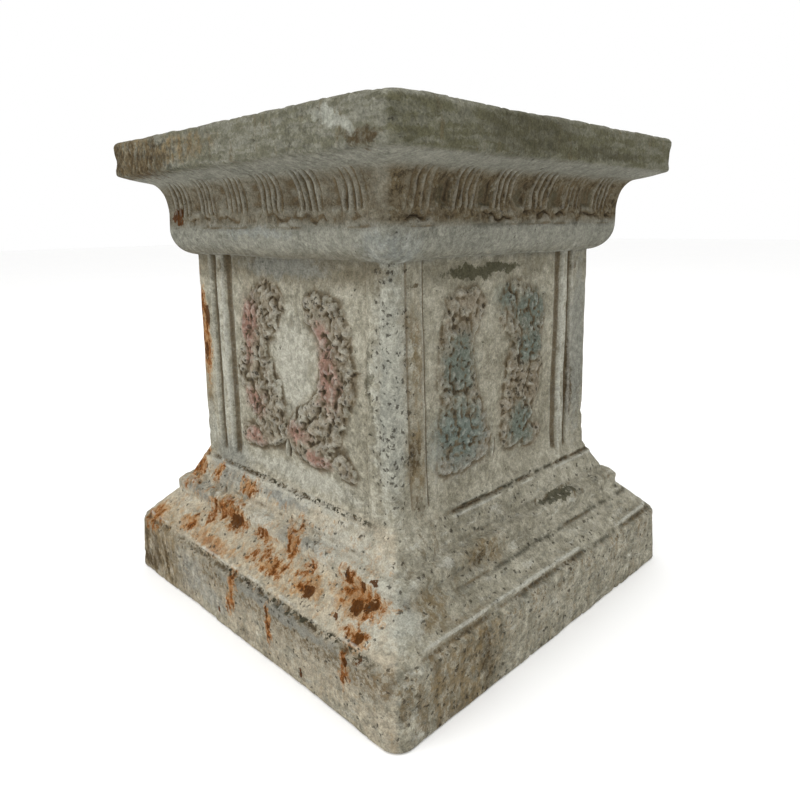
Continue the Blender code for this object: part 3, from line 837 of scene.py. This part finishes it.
class Nodes:
    """Small helpers that add and link the nodes of one material."""

    def __init__(self, name):
        self.material = bpy.data.materials.new(name)
        self.material.use_nodes = True
        self.tree = self.material.node_tree
        self.shader = self.tree.nodes["Principled BSDF"]

    def add(self, kind):
        return self.tree.nodes.new("ShaderNode" + kind)

    def link(self, value, socket):
        if isinstance(value, bpy.types.NodeSocket):
            self.tree.links.new(value, socket)
        else:
            socket.default_value = value

    def math(self, operation, first, second=0.0):
        node = self.add("Math")
        node.operation = operation
        self.link(first, node.inputs[0])
        self.link(second, node.inputs[1])
        return node.outputs[0]

    def plus(self, first, second):
        return self.math("ADD", first, second)

    def minus(self, first, second):
        return self.math("SUBTRACT", first, second)

    def both(self, *shares):
        """The product of several shares."""
        total = shares[0]
        for share in shares[1:]:
            total = self.math("MULTIPLY", total, share)
        return total

    def vector(self, operation, first, second):
        node = self.add("VectorMath")
        node.operation = operation
        self.link(first, node.inputs[0])
        self.link(second, node.inputs[1])
        return node.outputs[0]

    def step(self, value, low, high, bottom=0.0, top=1.0):
        node = self.add("MapRange")
        node.interpolation_type = "SMOOTHSTEP"
        for index, given in enumerate((value, low, high, bottom, top)):
            self.link(given, node.inputs[index])
        return node.outputs[0]

    def noise(self, place, size, detail=3.0, roughness=0.55, offset=0.0, stretch=None):
        """Noise from 0 to 1, with features of about that size in millimetres."""
        if stretch is not None or offset:
            node = self.add("Mapping")
            self.link(place, node.inputs["Vector"])
            node.inputs["Location"].default_value = (offset, offset / 2, offset / 3)
            node.inputs["Scale"].default_value = stretch or (1, 1, 1)
            place = node.outputs[0]
        node = self.add("TexNoise")
        self.link(place, node.inputs["Vector"])
        node.inputs["Scale"].default_value = 1 / (size * MM)
        node.inputs["Detail"].default_value = detail
        node.inputs["Roughness"].default_value = roughness
        return node

    def mix(self, share, first, second):
        node = self.add("Mix")
        node.data_type = "RGBA"
        self.link(share, node.inputs[0])
        self.link(first, node.inputs[6])
        self.link(second, node.inputs[7])
        return node.outputs[2]

    def spot(self, place, centre, size, turn):
        """1 at a centre, falling to 0 on an ellipsoid round it."""
        mapping = self.add("Mapping")
        mapping.vector_type = "TEXTURE"
        self.link(place, mapping.inputs["Vector"])
        mapping.inputs["Location"].default_value = centre
        mapping.inputs["Rotation"].default_value = turn
        mapping.inputs["Scale"].default_value = size
        gradient = self.add("TexGradient")
        gradient.gradient_type = "SPHERICAL"
        self.link(mapping.outputs[0], gradient.inputs["Vector"])
        return gradient.outputs["Fac"]

    def spots(self, place, plan):
        """The strongest of several spots."""
        total = 0.0
        for face, places in plan.items():
            turn = math.radians(FACE_TURNS[FACE_NAMES.index(face)])
            for u, height, half_width, half_height, *lean in places:
                size = (half_width * MM, STAIN_DEPTH * MM, half_height * MM)
                rotation = (0.0, math.radians(sum(lean)), turn)
                spot = self.spot(place, face_point(face, u, height), size, rotation)
                total = self.math("MAXIMUM", total, spot)
        return total

    def grey(self, value):
        """One number as a vector of three."""
        node = self.add("CombineXYZ")
        for socket in node.inputs:
            self.link(value, socket)
        return node.outputs[0]

    def attribute(self, name):
        node = self.add("Attribute")
        node.attribute_name = name
        return node.outputs["Fac"]

    def cells(self, place, size):
        """Scattered cells: the distance to the middle of each, and a random number for each."""
        node = self.add("TexVoronoi")
        node.inputs["Scale"].default_value = 1 / (size * MM)
        self.link(place, node.inputs["Vector"])
        pick = self.add("SeparateColor")
        self.tree.links.new(node.outputs["Color"], pick.inputs[0])
        return node.outputs["Distance"], pick.outputs[0]

    def band(self, height, low, high, soft):
        """1 between two levels, in millimetres, with soft ends."""
        up = self.step(height, (low - soft) * MM, (low + soft) * MM)
        down = self.step(height, (high - soft) * MM, (high + soft) * MM, 1.0, 0.0)
        return self.math("MULTIPLY", up, down)


# Tones laid one over another on the bare concrete. Each covers where all its zones are, by a share that
# goes from bottom to top as its field goes from low to high, or that is top where it has no field. A side
# adds its own share to that. Zones, fields and sides are named as in the Concrete class.
Tone = namedtuple("Tone", "colour zones field low high bottom top side side_share", defaults=("", 0.0))
TONES = (
    Tone(CONCRETE_DARK, (), "broad", 0.45, 0.65, 0.0, 0.45),
    Tone(CREAM, ("base", "front"), "coarse", 0.35, 0.6, 0.2, 0.75),
    # Painted shade: the right face is darkened all over
    Tone(CONCRETE_DARK, ("right",), "broad", 0.3, 0.7, 0.1, 0.35),
    Tone(COOL_GREY, ("head",), "", 0.0, 0.0, 0.0, 0.7),
    # Brown dirt in the hollow; its extra share on the right face is painted shade
    Tone(BROWN, ("hollow",), "coarse", 0.3, 0.65, 0.35, 0.65, "right", 0.3),
    # Dirt and painted shade in the crevices of the hollow
    Tone(DIRT_AND_SHADE, ("hollow",), "crevice", -0.1, 0.4, 0.0, 0.7),
    # Crust on worn reeds in the hollow; its extra share on the right face is painted shade
    Tone(CRUST_AND_SHADE, ("hollow", "worn_reeds"), "", 0.0, 0.0, 0.0, 0.45, "right", 0.35),
    Tone(CONCRETE_MID, ("hollow",), "fine", 0.46, 0.36, 0.0, 0.5),
    # The slab is darker on its right face, here and in the next tone: painted shade
    Tone(OLIVE, ("slab",), "level", 0.6, 0.42, 0.05, 0.65, "right", 0.3),
    Tone(OLIVE, ("slab",), "right", 0.0, 1.0, 0.2, 0.35),
    Tone(BROWN, ("slab",), "streak", 0.56, 0.68, 0.0, 0.45),
    # The top of the panels, just under the ovolo, is made darker, more on the front
    Tone(CONCRETE_DARK, ("panel_top",), "coarse", 0.35, 0.6, 0.15, 0.7, "front", 0.3),
    Tone(DIRT_AND_SHADE, ("panel_top", "front"), "", 0.0, 0.0, 0.0, 0.3),
    Tone(WREATH_TONE, ("wreath",), "coarse", 0.3, 0.6, 0.25, 0.7),
    Tone(LIME, ("base",), "level", 0.54, 0.68, 0.0, 0.5),
    Tone(COOL_GREY, ("base",), "level", 0.46, 0.34, 0.0, 0.45),
    Tone(CONCRETE_DARK, ("plinth", "front"), "", 0.0, 0.0, 0.0, 0.2),
    # Painted shade under the plinth's ledge, on the front
    Tone(DIRT_AND_SHADE, ("under_ledge",), "fine", 0.42, 0.56, 0.0, 0.8),
    Tone(DIRT_AND_SHADE, ("plinth", "speckle"), "height", 0.0, SLOPE_FOOT * MM, 0.35, 0.85),
    Tone(YELLOW_BROWN, ("plinth",), "streak", 0.5, 0.72, 0.0, 0.4),
    Tone(BROWN, ("base", "right", "near_y"), "streak", 0.5, 0.64, 0.0, 0.6),
)
# Tones of the rust, from its halo to its core: colour, where it starts and is full, and strength
RUST_TONES = (
    (RUST_HALO, 0.18, 0.5, 0.55),
    (RUST, 0.48, 0.66, 0.85),
    (RUST_DARK, 0.66, 0.84, 0.85),
)
# How far stain edges are pushed about by the coarse and the fine noise
COARSE_PUSH = (26 * MM, 26 * MM, 20 * MM)
FINE_PUSH = (9 * MM, 9 * MM, 9 * MM)
SIDE_BLEND = 4 * MM
BELOW_ALL = -20.0
ABOVE_ALL = TOP + 20.0
PANEL_TOP_FOOT = 326
LEDGE_SHADE = (40, 62)
RUST_LEVELS = (60, 128)
RUST_SPREAD = 0.12
PORE_PITCH = 4.2
PORE_STRENGTH = 0.75
SHINE = 0.12
BUMP_STRENGTH = 0.9
BUMP_DISTANCE = 1.6 * MM


class Concrete(Nodes):
    """Weathered concrete, built up as tones, stains, dirt, painted shade and pores laid one over another."""

    def __init__(self):
        super().__init__("weathered_concrete")
        self.find_places()
        self.find_noises()
        self.find_zones()
        self.colour = self.mix(self.step(self.flakes, 0.38, 0.62), CONCRETE_MID, CONCRETE_LIGHT)
        for tone in TONES:
            self.lay_tone(tone)
        for kind in STAINS:
            if kind not in APART:
                self.lay_stain(kind)
        self.lay_rust()
        self.lay_spots()
        self.lay_lines()
        self.lay_dirt_and_shade()
        self.lay_pores()
        self.lay_shade()
        self.finish_surface()

    def find_places(self):
        self.place = self.add("TexCoord").outputs["Object"]
        split = self.add("SeparateXYZ")
        self.link(self.place, split.inputs[0])
        self.x, self.y, self.height = split.outputs
        wide_x, wide_y = self.math("ABSOLUTE", self.x), self.math("ABSOLUTE", self.y)
        self.on_sides = self.step(self.height, (TOP - 2.5) * MM, (TOP - 6.5) * MM)
        to_front = self.minus(self.math("MULTIPLY", self.y, -1.0), wide_x)
        to_right = self.minus(self.x, wide_y)
        self.front = self.both(self.step(to_front, -SIDE_BLEND, SIDE_BLEND), self.on_sides)
        self.right = self.both(self.step(to_right, -SIDE_BLEND, SIDE_BLEND), self.on_sides)
        outward = self.math("MULTIPLY", self.math("MAXIMUM", wide_x, wide_y), 2.0)
        self.from_near = self.minus(outward, self.minus(self.x, self.y))

    def find_noises(self):
        coarse = self.noise(self.place, 15.0, 5.0, 0.62)
        fine = self.noise(self.place, 4.5, 4.0, 0.65, offset=3.1)
        self.coarse, self.fine = coarse.outputs["Fac"], fine.outputs["Fac"]
        middle = (0.5, 0.5, 0.5)
        push = self.vector("SUBTRACT", coarse.outputs["Color"], middle)
        push = self.vector("MULTIPLY", push, COARSE_PUSH)
        small = self.vector("SUBTRACT", fine.outputs["Color"], middle)
        small = self.vector("MULTIPLY", small, FINE_PUSH)
        self.ragged = self.vector("ADD", self.vector("ADD", self.place, push), small)
        self.thin_ragged = self.vector("ADD", self.place, small)
        self.broad = self.noise(self.place, 70.0, 4.0, 0.6, offset=7.7).outputs["Fac"]
        self.flakes = self.noise(self.place, 9.0, 6.0, 0.7, offset=2.9).outputs["Fac"]
        self.grain = self.noise(self.place, 1.5, 2.0, 0.7, offset=5.5).outputs["Fac"]
        self.streak = self.drawn_out(8.0, 5.0, 0.7, 1.3, (1.0, 1.0, 0.2))
        self.level = self.drawn_out(8.0, 5.0, 0.7, 4.6, (0.3, 0.3, 1.6))
        self.drip = self.drawn_out(6.0, 4.0, 0.65, 8.3, (1.0, 1.0, 0.42))
        self.crevice, self.wreath = self.attribute("crevice"), self.attribute("wreath")

    def drawn_out(self, size, detail, roughness, offset, stretch):
        """Noise drawn out along a direction."""
        noise = self.noise(self.thin_ragged, size, detail, roughness, offset=offset, stretch=stretch)
        return noise.outputs["Fac"]

    def find_zones(self):
        height = self.height
        self.base = self.band(height, BELOW_ALL, SHAFT_FOOT - 4, 5.0)
        self.plinth = self.band(height, BELOW_ALL, SLOPE_FOOT + 4, 4.0)
        self.shaft = self.band(height, SHAFT_FOOT, OVOLO_FOOT, 4.0)
        self.panel_top = self.band(height, PANEL_TOP_FOOT, OVOLO_FOOT + 4, 10.0)
        self.head = self.band(height, OVOLO_FOOT - 2, ABOVE_ALL, 4.0)
        self.hollow = self.band(height, NECK_FOOT + 3, HOLLOW_HEAD - 2, 4.0)
        self.slab = self.band(height, SLAB_FOOT - 3, ABOVE_ALL, 2.0)
        self.worn_reeds = self.both(self.step(self.fine, 0.48, 0.6), self.step(self.coarse, 0.4, 0.55))
        # Painted shade under the plinth's ledge, on the front but for its left end
        ledge = self.band(height, *LEDGE_SHADE, 8.0)
        self.under_ledge = self.both(ledge, self.front, self.step(self.x, -100 * MM, -40 * MM))
        self.speckle = self.both(self.step(self.fine, 0.5, 0.6), self.step(self.streak, 0.4, 0.56))
        self.near_y = self.step(self.y, -80 * MM, -120 * MM)

    def tint(self, colour, *shares):
        self.colour = self.mix(self.both(*shares), self.colour, colour)

    def lay_tone(self, tone):
        share = tone.top
        if tone.field:
            share = self.step(getattr(self, tone.field), tone.low, tone.high, tone.bottom, tone.top)
        if tone.side:
            share = self.plus(self.both(getattr(self, tone.side), tone.side_share), share)
        zones = [getattr(self, zone) for zone in tone.zones]
        self.tint(tone.colour, *zones, share)

    def off_middle(self, field, amount):
        """A noise as a swing about nought."""
        return self.both(self.minus(field, 0.5), amount)

    def lay_stain(self, kind):
        look = STAIN_KINDS[kind]
        spots = self.spots(self.ragged, STAINS[kind])
        broken = self.plus(spots, self.off_middle(self.flakes, STAIN_BREAKUP))
        shares = [self.step(broken, *look.edge), self.step(spots, 0.0, 0.1)]
        if look.left < 1.0:
            shares.append(self.step(self.drip, 0.36, 0.6, look.left, 1.0))
        if kind in WREATH_PAINT:
            shares.append(self.plus(self.both(self.wreath, 0.55), 0.45))
        self.tint(look.colour, *shares, look.strength)

    def lay_rust(self):
        look = STAIN_KINDS["wash"]
        spots = self.spots(self.ragged, STAINS["wash"])
        wash = self.step(self.plus(spots, self.off_middle(self.drip, 1.2)), *look.edge)
        wash = self.both(wash, self.step(spots, 0.0, 0.1))
        self.tint(look.colour, self.step(wash, 0.0, 0.5), look.strength)
        self.tint(WASH_CORE, self.step(wash, 0.55, 1.0), look.strength)
        gathered = self.math("MINIMUM", self.both(self.spots(self.ragged, RUST_PLACES), 1.2), 0.56)
        off_corner = self.step(self.x, 175 * MM, 150 * MM)
        spread = self.both(self.band(self.height, *RUST_LEVELS, 8.0), self.front, off_corner, RUST_SPREAD)
        rust = self.math("MAXIMUM", gathered, spread)
        broken = self.plus(rust, self.off_middle(self.drip, 2.2))
        rust = self.both(broken, self.step(rust, 0.02, 0.1))
        for colour, start, full, strength in RUST_TONES:
            self.tint(colour, self.step(rust, start, full), strength)

    def lay_spots(self):
        look = STAIN_KINDS["spot"]
        spots = self.spots(self.thin_ragged, STAINS["spot"])
        broken = self.plus(spots, self.off_middle(self.fine, 1.1))
        self.tint(look.colour, self.step(broken, *look.edge), self.step(spots, 0.0, 0.08), look.strength)

    def lay_lines(self):
        """Dark moss along the lines, with painted shade in them: dotted on the front, in strokes on the
        right.
        """
        off_corner = self.step(self.from_near, 10 * MM, 40 * MM)
        on_front = self.both(self.front, off_corner, self.step(self.x, -110 * MM, -60 * MM, 0.35, 1.0))
        on_right = self.both(self.right, self.step(self.y, -90 * MM, -60 * MM))
        dots = self.both(self.step(self.fine, 0.46, 0.54), self.step(self.coarse, 0.36, 0.5))
        strokes = self.step(self.coarse, 0.40, 0.54)
        for line in BASE_LINES:
            if line.front_dark:
                reach = line.half * 1.4
                band = self.band(self.height, line.front - reach, line.front + reach, reach / 2)
                self.tint(BLACK_MOSS_AND_SHADE, band, on_front, dots, line.front_dark)
            if line.right_dark:
                band = self.band(self.height, line.right - line.half, line.right + line.half, line.half)
                self.tint(BLACK_MOSS_AND_SHADE, band, on_right, strokes, line.right_dark)

    def lay_dirt_and_shade(self):
        """Dirt and crust, with painted shade, in the crevices, and bleached proud edges."""
        crevice, fine = self.crevice, self.fine
        uneven = self.minus(1.0, self.both(self.base, self.step(fine, 0.58, 0.44), 0.6))
        # Painted shade and dirt, darker the more sunk the place
        self.tint(DIRT_AND_SHADE, self.step(crevice, 0.02, 0.45), self.step(fine, 0.25, 0.6, 0.55, 0.9), uneven)
        self.tint(CRUST_AND_SHADE, self.step(crevice, 0.35, 0.95), self.step(fine, 0.3, 0.6, 0.4, 0.85), uneven)
        proud = self.plus(0.3, self.both(self.base, 0.25))
        proud = self.minus(proud, self.both(self.hollow, 0.15))
        self.tint(LIME, proud, self.step(crevice, -0.12, -0.6))

    def lay_pores(self):
        distance, pick = self.cells(self.thin_ragged, PORE_PITCH)
        near = self.both(self.step(self.from_near, 34 * MM, 10 * MM), self.shaft)
        crowd = self.plus(self.both(near, 0.36), self.both(self.base, 0.16))
        crowd = self.plus(crowd, self.both(self.wreath, 0.3))
        size = self.step(self.plus(pick, crowd), 0.74, 1.2, 0.0, 0.4)
        self.pore = self.step(self.minus(size, distance), -0.03, 0.08)
        self.tint(PORE, self.pore, PORE_STRENGTH)

    def lay_shade(self):
        """Light and dark mottling, stronger in some areas than in others."""
        on_flakes = self.step(self.flakes, 0.35, 0.65, 0.86, 1.12)
        shade = self.both(self.step(self.fine, 0.32, 0.68, 0.74, 1.24), on_flakes)
        slab_left = self.both(self.slab, self.on_sides, self.step(self.x, -20 * MM, -80 * MM), 0.9)
        swing = self.plus(self.step(self.broad, 0.35, 0.65, 0.45, 0.95), self.both(self.plinth, 0.5))
        swing = self.plus(swing, slab_left)
        shade = self.plus(self.both(self.minus(shade, 1.0), swing), 1.0)
        shade = self.both(shade, self.step(self.grain, 0.28, 0.72, 0.8, 1.2))
        self.colour = self.vector("MULTIPLY", self.colour, self.grey(shade))

    def finish_surface(self):
        self.link(self.colour, self.shader.inputs["Base Color"])
        self.link(self.step(self.coarse, 0.3, 0.7, 0.86, 0.98), self.shader.inputs["Roughness"])
        self.shader.inputs["Specular IOR Level"].default_value = SHINE
        relief = self.both(self.grain, 0.5)
        relief = self.plus(relief, self.both(self.fine, 1.8))
        relief = self.plus(relief, self.both(self.flakes, 1.8))
        relief = self.minus(relief, self.pore)
        bump = self.add("Bump")
        bump.inputs["Strength"].default_value = BUMP_STRENGTH
        bump.inputs["Distance"].default_value = BUMP_DISTANCE
        self.link(relief, bump.inputs["Height"])
        self.link(bump.outputs["Normal"], self.shader.inputs["Normal"])


def floor_material():
    nodes = Nodes("pale_floor")
    cloud = nodes.noise(nodes.add("TexCoord").outputs["Object"], 400.0).outputs["Fac"]
    colour = nodes.mix(cloud, (0.955, 0.955, 0.95, 1), (0.975, 0.975, 0.97, 1))
    nodes.link(colour, nodes.shader.inputs["Base Color"])
    nodes.shader.inputs["Roughness"].default_value = 0.9
    return nodes.material


# Scene

CAMERA_PLACE = Vector((0.48775, -0.47776, 0.37373))
CAMERA_RIGHT = Vector((0.70675, 0.70733, -0.01374))
CAMERA_DOWN = Vector((0.17580, -0.19440, -0.96504))
CAMERA_FORWARD = Vector((-0.68527, 0.67963, -0.26174))
CAMERA_LENS = 29.53
FLOOR_HALF = 12.0
SKY_STRENGTH = 1.0


def make_camera():
    data = bpy.data.cameras.new("camera")
    camera = add_object("camera", data)
    data.lens = CAMERA_LENS
    data.sensor_width = 36.0
    data.clip_start = 0.01
    turn = Matrix((CAMERA_RIGHT, -CAMERA_DOWN, -CAMERA_FORWARD)).transposed()
    camera.matrix_world = Matrix.Translation(CAMERA_PLACE) @ turn.to_4x4()
    bpy.context.scene.camera = camera


def make_floor():
    mesh = bpy.data.meshes.new("floor")
    corners = [(-FLOOR_HALF, -FLOOR_HALF, 0), (FLOOR_HALF, -FLOOR_HALF, 0),
               (FLOOR_HALF, FLOOR_HALF, 0), (-FLOOR_HALF, FLOOR_HALF, 0)]
    mesh.from_pydata(corners, [], [(0, 1, 2, 3)])
    floor = add_object("floor", mesh)
    mesh.materials.append(floor_material())


def add_light(name, place, size, power):
    data = bpy.data.lights.new(name, "AREA")
    data.size = size
    data.energy = power
    light = add_object(name, data)
    light.location = place
    light.rotation_euler = (Vector((0, 0, 0.22)) - Vector(place)).to_track_quat("-Z", "Y").to_euler()


def make_light():
    world = bpy.data.worlds.new("studio")
    world.use_nodes = True
    background = world.node_tree.nodes["Background"]
    background.inputs["Color"].default_value = (1.0, 1.0, 1.0, 1.0)
    background.inputs["Strength"].default_value = SKY_STRENGTH
    bpy.context.scene.world = world
    add_light("key", (-0.9, -2.2, 1.9), 1.8, 19.0)
    add_light("overhead", (0.3, -0.3, 2.6), 2.0, 28.0)
    bpy.context.scene.view_settings.view_transform = "Standard"


def main():
    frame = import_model()
    piece = casting()
    piece.data.materials.clear()
    piece.data.materials.append(Concrete().material)
    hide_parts("pedestal")
    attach(piece, "root")
    make_floor()
    make_light()
    make_camera()


main()
